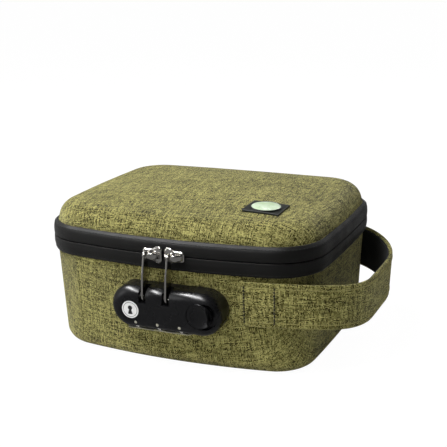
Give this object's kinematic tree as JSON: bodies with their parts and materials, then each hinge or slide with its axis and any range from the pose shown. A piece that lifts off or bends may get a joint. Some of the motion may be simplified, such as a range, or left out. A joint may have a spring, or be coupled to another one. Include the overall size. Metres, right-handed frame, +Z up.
{
  "type": "zip case with combination lock",
  "caption": "Small hard-shell zip carrying case with a three-dial lock that holds both zip pullers and a fabric grab handle on one end.",
  "frame": {"origin": "middle of the flat bottom", "axes": "+X towards the handle end, -Y towards the lock, +Z up"},
  "size_m": [0.2132, 0.17, 0.1025],
  "materials": {
    "shell_cloth": "olive melange linen-look polyester cloth, moulded on foam",
    "lid_cloth": "olive melange linen-look polyester cloth, moulded on foam",
    "lining_cloth": "black knitted lining",
    "zip_tape": "black coated zip tape, satin",
    "zip_coil": "black nylon coil",
    "hinge_cloth": "black coated tape, satin",
    "strap_cloth": "olive cloth with stitched edges",
    "strap_lining": "black webbing",
    "lock_black": "black ABS, satin",
    "lock_dial": "black with pale digits",
    "lock_trim": "pale grey",
    "white_disc": "white disc, plain mark",
    "zinc": "nickel-plated zinc casting",
    "steel": "steel",
    "brass": "brass",
    "patch_black": "black moulded patch",
    "dome_green": "pale green enamel dome"
  },
  "bodies": {
    "base": {"lower_shell": "shell_cloth", "lower_lining": "lining_cloth", "lower_zip_tape": "zip_tape", "lower_zip_coil": "zip_coil", "hinge_strip": "hinge_cloth", "handle_strap": "strap_cloth", "handle_lining": "strap_lining", "lock_housing": "lock_black", "lock_back_plate": "steel", "lock_screws": "steel", "dial_axle": "steel", "detent_spring": "steel", "dial_trim": "lock_trim", "index_pins": "lock_trim", "lock_badge": "white_disc"},
    "lid": {"upper_shell": "lid_cloth", "upper_lining": "lining_cloth", "upper_zip_tape": "zip_tape", "upper_zip_coil": "zip_coil", "lid_patch": "patch_black", "lid_dome": "dome_green"},
    "wheel_1": {"dial_1": "lock_dial", "cam_1": "brass"},
    "wheel_2": {"dial_2": "lock_dial", "cam_2": "brass"},
    "wheel_3": {"dial_3": "lock_dial", "cam_3": "brass"},
    "latch": {"latch_bar": "steel", "release_button": "lock_black"},
    "left_slider": {"left_slider": "zinc"},
    "right_slider": {"right_slider": "zinc"},
    "left_puller": {"left_puller": "zinc"},
    "right_puller": {"right_puller": "zinc"}
  },
  "joints": [
    {"name": "lid_hinge", "type": "hinge", "parent": "base", "child": "lid", "pos_m": [0, 0.0789, 0.0745], "axis": [-1, 0, 0], "range_deg": [0, 180], "deforming": ["hinge_strip"]},
    {"name": "left_slider_run", "type": "slide", "parent": "base", "child": "left_slider", "axis": [0.9999, -0.0148, 0], "range_m": [-0.0009, 0.0009]},
    {"name": "left_puller_swing", "type": "hinge", "parent": "left_slider", "child": "left_puller", "pos_m": [-0.0088, -0.0841, 0.0745], "axis": [-1, 0, 0], "range_deg": [0, 150]},
    {"name": "right_slider_run", "type": "slide", "parent": "base", "child": "right_slider", "axis": [0.9997, 0.0228, 0], "range_m": [-0.0009, 0.0009]},
    {"name": "right_puller_swing", "type": "hinge", "parent": "right_slider", "child": "right_puller", "pos_m": [0.007, -0.08414, 0.0745], "axis": [-1, 0, 0], "range_deg": [0, 150]},
    {"name": "dial_1_turn", "type": "hinge", "parent": "base", "child": "wheel_1", "pos_m": [-0.0141, -0.082, 0.03265], "axis": [1, 0, 0], "continuous": true},
    {"name": "dial_2_turn", "type": "hinge", "parent": "base", "child": "wheel_2", "pos_m": [0.0008, -0.082, 0.03265], "axis": [1, 0, 0], "continuous": true},
    {"name": "dial_3_turn", "type": "hinge", "parent": "base", "child": "wheel_3", "pos_m": [0.0157, -0.082, 0.03265], "axis": [1, 0, 0], "continuous": true},
    {"name": "latch_slide", "type": "slide", "parent": "base", "child": "latch", "axis": [1, 0, 0], "range_m": [0, 0.0032]}
  ]
}
